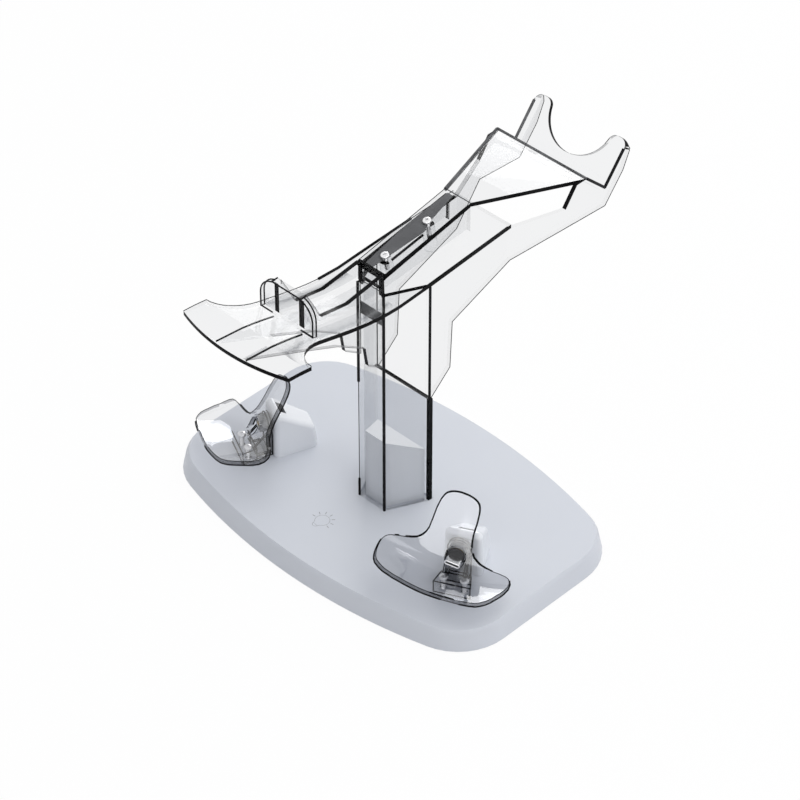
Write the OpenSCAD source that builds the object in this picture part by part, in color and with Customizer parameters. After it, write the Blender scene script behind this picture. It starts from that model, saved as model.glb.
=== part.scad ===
/* [Base] */
// Length of the base at the floor, left to right
base_l = 228; // [222:1:240]
// Width of the base at the floor, at its middle
base_w = 152; // [148:1:164]
// How far the long sides bow outwards
base_bow = 19.6; // [14:0.1:24]
// Corner radius of the base outline
base_corner_r = 33; // [26:0.5:38]
// Height of the base side, from the floor to the edge band
side_h = 9.6; // [9:0.1:12]
// Height of the bevelled edge band
edge_h = 2.8; // [2.4:0.1:3.6]
// Width of the bevelled edge band, seen from above
edge_w = 2; // [1.2:0.1:3]
// How far the side leans in towards the top
side_draft = 1.9; // [0.5:0.1:3]
// Wall of the base cover
cover_wall = 2.4; // [1.8:0.1:3]
// Thickness of the cover's top
cover_top = 2.4; // [2:0.1:2.8]
// Thickness of the bottom plate
plate_t = 2; // [1.8:0.1:2.4]
// Thickness of the rubber feet
foot_t = 0.8; // [0.5:0.1:1]
// Diameter of a rubber foot
foot_d = 15; // [10:0.5:18]
// Thickness of the steel weights
weight_t = 3; // [2:0.1:3.4]

/* [Column] */
// Thickness of the clear sheet
sheet_t = 2.5; // [2.2:0.1:2.8]
// Width of the column's front wall
column_front_w = 18.6; // [18:0.2:22]
// Width of the column's back, where the side walls turn straight
column_back_w = 41; // [38:0.5:43]
// Depth of the column from its front wall to that turn
column_depth = 22.7; // [20:0.1:26]
// Distance of the front wall in front of the base's centre
column_front_y = 13.8; // [10:0.1:18]
// Height of the tray's floor above the ground, at the column
seat_z = 159; // [145:1:175]
// Height of the column's back wall above the ground
back_wall_z = 82.6; // [70:0.2:95]
// Depth of the groove in the cover that the column stands in
groove_d = 1.2; // [0.8:0.1:1.5]
// Height of the white block in the column at its front
stand_block_front_h = 45; // [38:0.5:48]
// Height of the white block in the column at its back
stand_block_back_h = 34.5; // [30:0.5:37]

/* [Head rest] */
// Width of the back rest across its arms
rest_w = 64; // [60:0.5:70]
// Radius of the gap between the arms
notch_r = 21.4; // [18:0.2:23]
// Width of the strap that runs back from the front wall
strap_w = 18; // [17.6:0.1:20]
// Height of the strap over the tray's floor, at the column
strap_over_floor = 13.6; // [11:0.2:16]
// Rise of the strap from the front wall to its widening
strap_rise = 11.2; // [8:0.1:14]
// Length of the strap from the front wall to its widening
strap_l = 64.5; // [60:0.5:68]
// Length of the widening seat behind the strap
seat_l = 64; // [60:0.5:68]
// Drop of the seat along its length
seat_drop = 6.6; // [4:0.1:8]

/* [Tray] */
// Length of the tray in front of the column's front wall
tray_front_l = 101; // [92:0.5:110]
// Width of the tray's front flap
flap_w = 75; // [70:0.5:82]
// Width of the tray's floor
floor_w = 44; // [43:0.5:48]
// Rise of the flap's front over the floor at the column
flap_rise = 16.8; // [12:0.2:20]
// Width over the tray's ribs at the front
rib_front_w = 21.4; // [20:0.1:23]
// Width over the tray's ribs at the back
rib_back_w = 17.8; // [17.4:0.1:18.4]
// Width of the stop plate at its foot
stop_w = 37; // [34:0.5:42]
// Height of the stop plate above the floor under it
stop_h = 20; // [16:0.5:24]

/* [Cradles] */
// Distance of a cradle in from the base's end
cradle_in = 40.8; // [38:0.2:44]
// Distance of a cradle in front of the base's centre
cradle_y = 21.6; // [16:0.2:26]
// How far a cradle turns outwards, in degrees
cradle_turn = 26.5; // [20:0.5:32]
// Width of a cradle block at its front
block_front_w = 22.2; // [21:0.2:25]
// Width of a cradle block at its back
block_back_w = 17.4; // [16:0.2:20]
// Length of a cradle block
block_l = 25.5; // [24:0.5:29]
// Height of a cradle block at its front
block_front_h = 26.8; // [25.5:0.1:28]
// Height of a cradle block at its back
block_back_h = 14.5; // [13:0.1:17]
// Wall of a cradle block
block_wall = 2; // [1.6:0.1:2.4]
// Height of the contact above the base's top
contact_z = 18.5; // [18:0.1:19]
// Diameter of the magnetic contact
contact_d = 9.4; // [8.4:0.1:9.8]

/* [Rest plates] */
// Thickness of the clear rest plate
rest_t = 2.2; // [1.8:0.1:2.4]
// Half width of the rest plate over its lobes
lobe_half_w = 38; // [34:0.1:40]
// Half width of the rest plate's tongue
tongue_half_w = 11.4; // [11:0.1:13]
// Length of the rest plate's shelf, from its front edge to its bend
shelf_l = 18; // [16:0.2:20]
// Length of the rest plate's bend
bend_l = 13.9; // [12:0.1:16]
// Length of the rest plate's tongue, behind its bend
tongue_l = 34.1; // [30:0.1:38]
// Slope of the rest plate's shelf, in degrees
shelf_slope = -12.5; // [-16:0.5:-10]
// Slope of the rest plate's tongue, in degrees
tongue_slope = 57.8; // [56:0.2:60]
// Sideways lean of the rest plate, in degrees
rest_lean = 13.3; // [10:0.1:15]
// How far the lobes lift at their tips
lobe_lift = 7; // [5:0.1:9]

/* [Hidden] */
fine = 48;
soft = 28;
clear = 0.3;
over = 1;

// Outline of the base: straight ends, bowed long sides and round corners
half_l = base_l / 2;
half_w = base_w / 2;
side_r = (half_l * half_l + base_bow * base_bow) / (2 * base_bow);
side_cy = half_w - side_r;
corner_x = half_l - base_corner_r;
cradle_x = half_l - cradle_in;
corner_y = side_cy + sqrt(pow(side_r - base_corner_r, 2) - corner_x * corner_x);
turn_a = atan2(corner_y - side_cy, corner_x);
corner_steps = 8;
side_steps = 9;
function quarter(inset) = concat(
    [for (i = [0:corner_steps]) let (a = turn_a * i / corner_steps)
        [corner_x + (base_corner_r - inset) * cos(a), corner_y + (base_corner_r - inset) * sin(a)]],
    [for (i = [1:side_steps]) let (a = turn_a + (90 - turn_a) * i / side_steps)
        [(side_r - inset) * cos(a), side_cy + (side_r - inset) * sin(a)]]);
function upper_half(inset) = let (q = quarter(inset), n = len(q))
    concat(q, [for (i = [2:n]) [-q[n - i][0], q[n - i][1]]]);
function outline(inset) = let (u = upper_half(inset), n = len(u))
    concat(u, [for (i = [1:n]) [u[n - i][0], -u[n - i][1]]]);

base_h = side_h + edge_h;
cover_under = base_h - cover_top;
cavity_inset = cover_wall + side_draft;
plate_top = foot_t + plate_t;

// Screws are all of one kind, apart from their length
screw_r = 1.2;
screw_pilot_gap = 0.05;
screw_pass_gap = 0.4;
screw_head_r = 2.4;
screw_head_h = 1.4;
pilot_r = screw_r + screw_pilot_gap;
pass_r = screw_r + screw_pass_gap;
boss_r = 3;

// Places of the screws that close the base, as shares of its half length and half width
closing_shares = [[-0.82, -0.5], [0.82, -0.5], [-0.82, 0.5], [0.82, 0.5], [0, -0.8],
    [-0.26, 0.8], [0.26, 0.8]];
closing_tip_gap = 0.8;
closing_screw_l = cover_under - foot_t - screw_head_h - closing_tip_gap;
foot_shares = [[-0.68, -0.62], [0.68, -0.62], [-0.68, 0.62], [0.68, 0.62], [0, 0]];

// Steel weights on the bottom plate, as shares of the base's half length and half width
weight_in_share = 0.24;
weight_out_share = 0.74;
weight_y_share = 0.66;

// Circuit board with the USB-C inlet in the middle of the back
board_w = 46;
board_l = 34;
board_t = 1.2;
board_gap = 0.6;
board_back_gap = 1.2;
board_screw_in = 4;
board_z = plate_top + board_gap;
board_back = half_w - cavity_inset - board_back_gap;
board_screw_x = board_w / 2 - board_screw_in;
board_screw_y = board_back - board_l / 2;
board_screw_l = board_t + board_gap + plate_t / 2;
inlet_w = 8.94;
inlet_h = 3.26;
inlet_l = 7.6;
inlet_wall = 0.35;
inlet_z = board_z + board_t + inlet_h / 2;
inlet_back = half_w - side_draft - clear;

// Touch key for the lamp, under the cover's top
key_x = -8.8;
key_y = -42;
key_r = 7;
key_t = 0.3;

// Column plan, from its front wall back
front_y = -column_front_y;
bend_y = front_y + column_depth;
front_half = column_front_w / 2;
back_half = column_back_w / 2;
flare_a = atan2(back_half - front_half, column_depth);
wall_run = sheet_t / cos(flare_a);
column_foot_z = base_h - groove_d;
neck_gap = 0.4;
stand_mount_shares = [0.28, 0.8];

// Side view of the folded top sheet: strap, seat, valley and back rest
strap_z = seat_z + strap_over_floor;
kink = [front_y + strap_l, strap_z + strap_rise];
seat_end = kink + [seat_l, -seat_drop];
valley_l = 14.8;
valley_drop = 13.9;
arm_run_l = 16.8;
arm_rise = 21.3;
arm_run = [arm_run_l, arm_rise];
valley = seat_end + [valley_l, -valley_drop];
arm_top = valley + arm_run;
strap_a = atan2(strap_rise, strap_l);
strap_start = [front_y - over, strap_z - over * tan(strap_a)];
top_sheet = [strap_start, kink, seat_end, valley, arm_top];
arm_a = atan2(arm_run[1], arm_run[0]);
rest_half = rest_w / 2;
strap_half = strap_w / 2;
arm_l = norm(arm_run);
arm_tip_r = 4.5;
notch_lift = 0.6;

// Side view of the wings, as shares of their length and height
arm_back_gap = 2.2;
tail_y = arm_top[0] + arm_back_gap;
wing_l = tail_y - bend_y;
wing_h = arm_top[1] - back_wall_z;
wing_edge_shares = [[0, 0], [0.11, 0.135], [0.12, 0.427], [0.431, 0.586], [0.644, 0.69],
    [0.869, 0.67], [0.964, 0.83], [1, 0.94], [0.997, 0.985], [0.985, 1]];
flare_y = bend_y + wing_l * wing_edge_shares[3][0];
spread_y = bend_y + wing_l * wing_edge_shares[4][0];
fin_lead = 7.5;
fin_under = 0.4;

// Tray: its floor is level at the column and sweeps up to the flap in front
tray_slope = 0.055;
sweep_lead = 1.2;
sweep_y = front_y - sweep_lead;
tray_front = front_y - tray_front_l;
sweep_steps = 14;
function under_z(y) = seat_z + tray_slope * (y - sweep_y);
function sweep_z(s) = seat_z + sheet_t + flap_rise * pow(sin(90 * s), 2);
tray_top = concat(
    [for (i = [0:sweep_steps]) let (s = 1 - i / sweep_steps)
        [sweep_y - (sweep_y - tray_front) * s, sweep_z(s)]],
    [[flare_y, under_z(flare_y) + sheet_t]]);
rib_low_shares = [[0.62, 0.254], [0.335, 0.465], [0.133, 0.674], [0.112, 0.876], [0, 1]];
rib_peak_share = 0.26;
rib_drop = 63.5;
flap_half = flap_w / 2;
floor_half = floor_w / 2;
flap_bow = 6.5;
flap_side_l = 15.6;
flap_neck_l = 20.2;
flap_arc_steps = 10;
neck_arc_steps = 8;
rib_front_half = rib_front_w / 2;
rib_back_half = rib_back_w / 2;
stop_share = 0.583;
stop_y = sweep_y - (sweep_y - tray_front) * stop_share;
stop_z = sweep_z(stop_share);
stop_corner_r = 11;
hood_l = 4.2;
stop_half = stop_w / 2;
tray_screw_shares = [0.166, 0.643];
tray_boss_r = 3.6;
tray_screw_l = 10;

// Cradle: block, bracket and contact in the cradle's own frame, -Y towards the user
block_y = 1.5;
block_edge_r = 3;
block_screw_shares = [0.36, 0.78];
block_edge_in_share = 0.3;
block_boss_h = 9;
slot_w = 8.3;
slot_l = 3.8;
slot_x = 0.5;
slot_y = 6.8;
slot_d = 12;
contact_x = -1;
contact_front = -4.6;
contact_back = 5;
contact_r = contact_d / 2;
foot_front = -16.4;
foot_l = 8.4;
foot_h = 7.4;
foot_front_half = 10;
foot_back_half = 8.2;
foot_y = foot_front + foot_l / 2;
bracket_screw_x = 5.75;
bracket_bore_l = 9;
bracket_screw_in = 4.5;
bracket_base_t = 2;
arch_t = 1.6;
arch_half = 6.2;
arch_y = block_y - clear;
gusset_t = 1.2;

// Rest plate: rows across its curve, each a share of its length, of the lobe that each half
// reaches beyond the tongue, inner half first, and of the tongue's half width
rest_bend_pos = [-8.6, -18.9, 13.7];
rest_turn = 1.7;
rest_hole_l = 11.5;
rest_hole_gap = 0.7;
rest_hole_r = contact_r + rest_hole_gap;
row_shares = [[0, 0, 0, 0.175], [0.0018, 0, 0.15, 0.439], [0.0053, 0, 0.338, 0.702],
    [0.0106, 0.041, 0.398, 1], [0.0197, 0.305, 0.519, 1], [0.0333, 0.52, 0.577, 1],
    [0.053, 0.627, 0.64, 1], [0.0833, 0.727, 0.714, 1], [0.1212, 0.771, 0.777, 1],
    [0.1667, 0.796, 0.834, 1], [0.2197, 0.811, 0.906, 1], [0.2727, 0.814, 0.956, 1],
    [0.3258, 0.812, 1, 1], [0.3712, 0.795, 1, 1], [0.403, 0.757, 0.962, 1], [0.4242, 0.71, 0.88, 1],
    [0.4394, 0.655, 0.759, 1], [0.4545, 0.58, 0.586, 1], [0.4697, 0.496, 0.445, 1],
    [0.4879, 0.374, 0.318, 1], [0.5076, 0.259, 0.246, 1], [0.5303, 0.155, 0.167, 1],
    [0.5606, 0.084, 0.114, 1], [0.5985, 0.03, 0.063, 1], [0.6439, 0, 0.028, 1],
    [0.7121, 0, 0.004, 0.991], [0.8182, 0.004, 0, 0.974], [0.8939, 0.003, 0, 0.918],
    [0.9318, 0, 0, 0.853], [0.9545, 0, 0, 0.781], [0.9758, 0, 0, 0.632], [0.9894, 0, 0, 0.456],
    [0.997, 0, 0, 0.281], [1, 0, 0, 0.175]];
row_half_steps = 6;

// Solid between two outlines of the base at two heights
module drafted_base(low_inset, low_z, high_inset, high_z) {
    low = outline(low_inset);
    high = outline(high_inset);
    n = len(low);
    polyhedron(
        points = concat([for (p = low) [p[0], p[1], low_z]], [for (p = high) [p[0], p[1], high_z]]),
        faces = concat([[for (i = [0:n - 1]) i]], [[for (i = [0:n - 1]) 2 * n - 1 - i]],
            [for (i = [0:n - 1]) [i, n + i, n + (i + 1) % n, (i + 1) % n]]));
}

module base_slab(inset, low_z, high_z) {
    translate([0, 0, low_z]) linear_extrude(high_z - low_z) polygon(outline(inset));
}

module at_shares(shares, z) {
    for (s = shares) translate([s[0] * half_l, s[1] * half_w, z]) children();
}

// A screw along +Z with the underside of its head at the origin
module screw(length) {
    cylinder(h = length, r = screw_r, $fn = fine);
    translate([0, 0, -screw_head_h]) cylinder(h = screw_head_h, r = screw_head_r, $fn = fine);
}

// Polyline offset to one side, and the closed band between the two
function unit(v) = v / norm(v);
function left_of(v) = [-v[1], v[0]];
function corner_normal(p, i) = let (n = len(p) - 1,
    a = left_of(unit(p[min(i + 1, n)] - p[min(i, n - 1)])),
    b = left_of(unit(p[max(i, 1)] - p[max(i - 1, 0)])))
    (a + b) / (1 + a * b);
function band(p, t) = let (n = len(p))
    concat(p, [for (i = [1:n]) p[n - i] - t * corner_normal(p, n - i)]);

// Extrudes a side view, drawn as [y, z], across a width about the centre plane
module across(width) {
    translate([-width / 2, 0, 0]) rotate([90, 0, 90]) linear_extrude(width) children();
}

module upright(low_z, high_z) {
    translate([0, 0, low_z]) linear_extrude(high_z - low_z) children();
}

module mirrored() {
    children();
    mirror([1, 0, 0]) children();
}

module at_cradle(side) {
    if (side > 0) translate([cradle_x, -cradle_y, base_h]) rotate([0, 0, cradle_turn]) children();
    else mirror([1, 0, 0]) translate([cradle_x, -cradle_y, base_h]) rotate([0, 0, cradle_turn])
        children();
}

// Column plan: outer loop and hollow, grown or shrunk by a gap
module column_loop(grow) {
    polygon([[-front_half - grow, front_y - grow], [front_half + grow, front_y - grow],
        [back_half + grow, bend_y], [back_half + grow, bend_y + sheet_t + grow],
        [-back_half - grow, bend_y + sheet_t + grow], [-back_half - grow, bend_y]]);
}

module column_hollow(shrink) {
    in_y = front_y + sheet_t;
    in_half = front_half + sheet_t * tan(flare_a) - wall_run - shrink;
    polygon([[-in_half, in_y + shrink], [in_half, in_y + shrink],
        [back_half - wall_run - shrink, bend_y - shrink],
        [-back_half + wall_run + shrink, bend_y - shrink]]);
}

module base_cover() {
    color([0.83, 0.85, 0.88]) difference() {
        union() {
            difference() {
                union() {
                    drafted_base(0, foot_t, side_draft, side_h);
                    drafted_base(side_draft, side_h, side_draft + edge_w, base_h);
                }
                base_slab(cavity_inset, -over, cover_under);
            }
            at_shares(closing_shares, plate_top)
                cylinder(h = cover_under - plate_top + over / 2, r = boss_r, $fn = fine);
            bracket_bosses();
        }
        at_shares(closing_shares, 0) cylinder(h = cover_under, r = pilot_r, $fn = fine);
        upright(column_foot_z, base_h + over) difference() {
            column_loop(clear);
            column_hollow(clear);
        }
        stand_mounts(cover_under - over) cylinder(h = cover_top + 2 * over, r = pass_r, $fn = fine);
        translate([0, -over, cover_under - over])
            cylinder(h = cover_top + 2 * over, r = boss_r, $fn = fine);
        for (side = [-1, 1]) at_cradle(side) {
            block_mounts(-cover_top - over) cylinder(h = cover_top + 2 * over, r = pass_r, $fn = fine);
            translate([contact_x, block_y + block_l / 2, -cover_top - over])
                cylinder(h = cover_top + 2 * over, r = screw_head_r, $fn = fine);
            bracket_mounts(-bracket_bore_l) cylinder(h = bracket_bore_l + over, r = pilot_r, $fn = fine);
        }
        translate([-inlet_w / 2 - clear, half_w - cavity_inset - over, inlet_z - inlet_h / 2 - clear])
            cube([inlet_w + 2 * clear, cavity_inset + 2 * over, inlet_h + 2 * clear]);
    }
}

module bracket_bosses() {
    for (side = [-1, 1]) at_cradle(side) bracket_mounts(-cover_top - bracket_boss_h)
        cylinder(h = bracket_boss_h + over / 2, r = boss_r, $fn = fine);
}
bracket_boss_h = cover_under - plate_top - weight_t - clear;

module stand_mounts(z) {
    for (s = stand_mount_shares) translate([0, front_y + column_depth * s, z]) children();
}

module block_mounts(z) {
    for (s = block_screw_shares) translate([0, block_y + block_l * s, z]) children();
}

module bracket_mounts(z) {
    for (sx = [-1, 1]) translate([sx * bracket_screw_x, foot_y, z]) children();
}

module base_plate() {
    color([0.2, 0.21, 0.23]) difference() {
        union() {
            base_slab(cavity_inset + clear, foot_t, plate_top);
            board_posts();
        }
        at_shares(closing_shares, -over) cylinder(h = plate_top + 2 * over, r = pass_r, $fn = fine);
        at_shares(closing_shares, -over)
            cylinder(h = over + foot_t + screw_head_h, r = boss_r, $fn = fine);
        for (sx = [-1, 1]) translate([sx * board_screw_x, board_screw_y, plate_top - plate_t / 2])
            cylinder(h = plate_t, r = pilot_r, $fn = fine);
    }
}

module board_posts() {
    for (sx =
        [-1, 1], y = [board_screw_y, board_back - boss_r - clear, board_back - board_l + boss_r + clear])
        translate([sx * board_screw_x, y, foot_t + plate_t / 2])
            cylinder(h = plate_t / 2 + board_gap, r = boss_r, $fn = fine);
}

module base_screws() {
    color([0.7, 0.7, 0.72]) at_shares(closing_shares, foot_t + screw_head_h) screw(closing_screw_l);
}

module rubber_feet() {
    color([0.1, 0.1, 0.1]) at_shares(foot_shares, 0) cylinder(h = foot_t, d = foot_d, $fn = fine);
}

module weight(side) {
    in_x = half_l * weight_in_share;
    out_x = half_l * weight_out_share;
    long = 2 * half_w * weight_y_share;
    color([0.5, 0.52, 0.55]) translate([side > 0 ? in_x : -out_x, -long / 2, plate_top])
        cube([out_x - in_x, long, weight_t]);
}

module circuit_board() {
    color([0.1, 0.4, 0.2]) difference() {
        translate([-board_w / 2, board_back - board_l, board_z]) cube([board_w, board_l, board_t]);
        for (sx = [-1, 1]) translate([sx * board_screw_x, board_screw_y, board_z - over])
            cylinder(h = board_t + 2 * over, r = pass_r, $fn = fine);
    }
}

module board_screws() {
    color([0.7, 0.7, 0.72]) for (sx = [-1, 1])
        translate([sx * board_screw_x, board_screw_y, board_z + board_t]) rotate([180, 0, 0])
            screw(board_screw_l);
}

// Rounded slot shape of a USB-C shell
module pill(w, h) {
    square([w - h, h], center = true);
    for (sx = [-1, 1]) translate([sx * (w - h) / 2, 0]) circle(d = h, $fn = fine);
}

module usb_inlet() {
    color([0.75, 0.76, 0.78]) translate([0, inlet_back, inlet_z]) rotate([90, 0, 0]) {
        difference() {
            linear_extrude(inlet_l) pill(inlet_w, inlet_h);
            translate([0, 0, -over]) linear_extrude(inlet_l - inlet_wall + over)
                pill(inlet_w - 2 * inlet_wall, inlet_h - 2 * inlet_wall);
        }
        translate([-inlet_w * tongue_share / 2, -inlet_wall, inlet_wall])
            cube([inlet_w * tongue_share, 2 * inlet_wall, inlet_l - inlet_wall]);
    }
}
tongue_share = 0.72;

module touch_pad() {
    color([0.8, 0.5, 0.3]) translate([key_x, key_y, cover_under - key_t])
        cylinder(h = key_t, r = key_r, $fn = fine);
}

// White block in the column, with two bosses that carry the lamp board
module block_side(lift) {
    polygon([[front_y, base_h - over], [bend_y + sheet_t, base_h - over],
        [bend_y, base_h + stand_block_back_h - lift],
        [front_y + sheet_t, base_h + stand_block_front_h - lift]]);
}
stand_wall = 1.8;
lamp_h = 24;
lamp_t = 1.2;
led_w = 3;
led_h = 1;
led_pitch = 5.4;
led_row_shares = [0.35, 0.7];

module stand_block() {
    color([0.93, 0.94, 0.96]) difference() {
        union() {
            difference() {
                intersection() {
                    upright(base_h, base_h + stand_block_front_h) column_hollow(clear);
                    across(column_back_w) block_side(0);
                }
                intersection() {
                    upright(base_h - over, base_h + stand_block_front_h)
                        column_hollow(clear + stand_wall);
                    across(column_back_w) block_side(stand_wall);
                }
            }
            stand_mounts(base_h) cylinder(h = lamp_h, r = boss_r, $fn = fine);
        }
        stand_mounts(base_h - over) cylinder(h = block_boss_h + over, r = pilot_r, $fn = fine);
    }
}

module lamp_board() {
    color([0.9, 0.9, 0.88]) upright(base_h + lamp_h, base_h + lamp_h + lamp_t)
        column_hollow(2 * clear + stand_wall);
}

module at_led(x, share) {
    translate([x - led_w / 2, front_y + column_depth * share, base_h + lamp_h + lamp_t]) children();
}

module lamp_leds() {
    color([1, 0.95, 0.7]) for (x = [-led_pitch, led_pitch], s = led_row_shares) at_led(x, s)
        cube([led_w, led_w, led_h]);
    color([1, 0.95, 0.7]) at_led(0, led_row_shares[1]) cube([led_w, led_w, led_h]);
}

module mounting_screws() {
    color([0.7, 0.7, 0.72]) {
        stand_mounts(cover_under) screw(cover_top + block_boss_h * screw_depth_share);
        for (side = [-1, 1]) at_cradle(side) block_mounts(-cover_top)
            screw(cover_top + block_boss_h * screw_depth_share);
    }
}
screw_depth_share = 0.7;

// Wings: straight beside the strap, spread behind it, straight again at the back rest
module wing_plan() {
    polygon([[back_half, bend_y], [back_half, flare_y], [rest_half, spread_y], [rest_half, tail_y],
        [rest_half - sheet_t, tail_y], [rest_half - sheet_t, spread_y], [back_half - sheet_t, flare_y],
        [back_half - sheet_t, bend_y]]);
}

module wing_side() {
    polygon(concat(
        [for (s = wing_edge_shares) [bend_y + wing_l * s[0], back_wall_z + wing_h * s[1]]],
        [valley - [0, sheet_t], seat_end - [0, fin_under], seat_end - [fin_lead, fin_under],
            [spread_y, under_z(spread_y)], [flare_y, under_z(flare_y) - clear], [bend_y, seat_z - clear]]));
}

module sheet_plan() {
    polygon([[-strap_half, front_y], [strap_half, front_y], [strap_half, kink[0]],
        [rest_half, seat_end[0]], [rest_half, tail_y + sheet_t], [-rest_half, tail_y + sheet_t],
        [-rest_half, seat_end[0]], [-strap_half, kink[0]]]);
}

// The gap between the arms and the round arm tips, cut square to the back rest
module arm_outline_cut() {
    tip_x = sqrt(pow(notch_r + arm_tip_r, 2) - pow(notch_lift + arm_tip_r, 2));
    side_x = rest_half - arm_tip_r;
    translate([0, notch_lift]) circle(r = notch_r, $fn = fine);
    mirrored() {
        difference() {
            polygon([[0, notch_lift], [tip_x, -arm_tip_r], [tip_x, arm_tip_r], [0, arm_tip_r]]);
            translate([tip_x, -arm_tip_r]) circle(r = arm_tip_r, $fn = fine);
        }
        difference() {
            translate([side_x, -arm_tip_r]) square(2 * arm_tip_r);
            translate([side_x, -arm_tip_r]) circle(r = arm_tip_r, $fn = fine);
        }
    }
}

module arm_cut() {
    translate([0, valley[0], valley[1]]) rotate([arm_a, 0, 0]) translate([0, arm_l, -arm_l / 2])
        linear_extrude(arm_l) arm_outline_cut();
}

module at_tray_screws() {
    for (s = tray_screw_shares) translate([0, front_y + strap_l * s, strap_z + strap_rise * s])
        rotate([strap_a, 0, 0]) children();
}

module stand_column() {
    neck_half = rib_back_half - sheet_t - neck_gap;
    color([0.85, 0.9, 0.95, 0.35]) {
        difference() {
            upright(column_foot_z, seat_z - clear) difference() {
                column_loop(0);
                column_hollow(0);
            }
            translate([-column_back_w, bend_y, back_wall_z])
                cube([2 * column_back_w, 2 * sheet_t, seat_z]);
        }
        translate([-neck_half, front_y, seat_z - over])
            cube([2 * neck_half, sheet_t, strap_over_floor + over - sheet_t / 2]);
        difference() {
            union() {
                intersection() {
                    across(2 * rest_w) polygon(band(top_sheet, sheet_t));
                    upright(0, 2 * seat_z) sheet_plan();
                }
                mirrored() intersection() {
                    upright(0, 2 * seat_z) wing_plan();
                    across(2 * rest_w) wing_side();
                }
            }
            arm_cut();
            at_tray_screws() translate([0, 0, -sheet_t - over])
                cylinder(h = 2 * sheet_t + over, r = pass_r, $fn = fine);
        }
    }
}

// Tray plan: bowed front edge, short straight sides, hollow curve in to the floor's width
module tray_plan() {
    bow_r = (flap_half * flap_half + flap_bow * flap_bow) / (2 * flap_bow);
    bow_a = asin(flap_half / bow_r);
    side_y = tray_front + flap_bow + flap_side_l;
    right = concat(
        [for (i = [0:flap_arc_steps]) let (a = bow_a * i / flap_arc_steps)
            [bow_r * sin(a), tray_front + bow_r - bow_r * cos(a)]],
        [for (i = [0:neck_arc_steps]) let (a = 90 * i / neck_arc_steps)
            [flap_half - (flap_half - floor_half) * sin(a),
                side_y + flap_neck_l * (1 - cos(a))]],
        [[floor_half, bend_y], [back_half + clear, flare_y]]);
    n = len(right);
    polygon(concat(right, [for (i = [1:n]) [-right[n - i][0], right[n - i][1]]]));
}

// Side view of a rib: deep under the flap, up to the stop, then under the strap
module rib_side() {
    run = sweep_y - tray_front;
    stop_top = stop_z + stop_h;
    polygon(concat(
        [[tray_front + flap_bow / 2, sweep_z(1) - sheet_t]],
        [for (s = rib_low_shares) [front_y - clear - run * s[0], sweep_z(1) - sheet_t - rib_drop * s[1]]],
        [[front_y - clear, seat_z + sheet_t / 2], [kink[0], under_z(kink[0]) + sheet_t / 2],
            kink - [0, 2 * sheet_t * strap_gap_share],
            [front_y - clear, strap_z - 2 * sheet_t * strap_gap_share],
            [front_y - clear, strap_z],
            [front_y - run * rib_peak_share, sweep_z(rib_peak_share) + 2 * sheet_t],
            [stop_y + stop_l, stop_z + clear],
            [stop_y + stop_l * stop_slope_shares[0], stop_z + stop_h * stop_slope_shares[1]],
            [stop_y + hood_l, stop_top],
            [stop_y, stop_top], [stop_y, stop_z]]));
}
stop_l = 14.5;
stop_slope_shares = [0.62, 0.56];
strap_gap_share = 0.6;

module rib_plan() {
    polygon([[rib_front_half, tray_front], [rib_back_half, kink[0]], [rib_back_half - sheet_t, kink[0]],
        [rib_front_half - sheet_t, tray_front]]);
}

module stop_plate() {
    top = stop_z + stop_h;
    corner = stop_half - stop_corner_r;
    translate([0, stop_y + sheet_t, 0]) rotate([90, 0, 0]) linear_extrude(sheet_t) {
        translate([-stop_half, stop_z - sheet_t]) square([stop_w, stop_h + sheet_t - stop_corner_r]);
        translate([-corner, stop_z]) square([2 * corner, stop_h]);
        for (sx = [-1, 1]) translate([sx * corner, top - stop_corner_r])
            circle(r = stop_corner_r, $fn = fine);
    }
}

module headset_tray() {
    color([0.88, 0.92, 0.96, 0.35]) difference() {
        union() {
            intersection() {
                across(2 * flap_w) polygon(band(tray_top, sheet_t));
                upright(0, 2 * seat_z) tray_plan();
            }
            mirrored() intersection() {
                upright(0, 2 * seat_z) rib_plan();
                across(2 * flap_w) rib_side();
            }
            stop_plate();
            translate([-rib_back_half, stop_y, stop_z + stop_h - sheet_t])
                cube([rib_back_w, hood_l, sheet_t]);
            intersection() {
                at_tray_screws() translate([0, 0, -strap_over_floor * 2 - sheet_t - clear])
                    cylinder(h = strap_over_floor * 2, r = tray_boss_r, $fn = fine);
                translate([-floor_half, front_y, seat_z + sheet_t / 2]) cube([floor_w, strap_l, floor_w]);
            }
        }
        translate([-rib_back_half + sheet_t, front_y - clear, seat_z - over])
            cube([rib_back_w - 2 * sheet_t, sheet_t + 2 * clear, 2 * sheet_t]);
        at_tray_screws() translate([0, 0, -sheet_t - tray_screw_l])
            cylinder(h = tray_screw_l, r = pilot_r, $fn = fine);
    }
}

module tray_screws() {
    color([0.8, 0.8, 0.82]) at_tray_screws() rotate([180, 0, 0]) screw(tray_screw_l);
}

// Rounded block with a sloped top; the shrunk one is its hollow
module block_form(shrink, low) {
    front = block_front_w / 2 - shrink;
    back = block_back_w / 2 - shrink;
    r = block_edge_r;
    top_in = r * block_edge_in_share;
    hull() {
        for (sx = [-1, 1], end = [0, 1]) {
            half = end > 0 ? back : front;
            y = end > 0 ? block_y + block_l - shrink - r : block_y + shrink + r;
            h = (end > 0 ? block_back_h : block_front_h) - shrink;
            translate([sx * (half - r), y, low]) cylinder(h = r, r = r, $fn = soft);
            translate([sx * (half - r - top_in), y + (end > 0 ? -top_in : top_in), h - r])
                sphere(r = r, $fn = soft);
        }
    }
}

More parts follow.
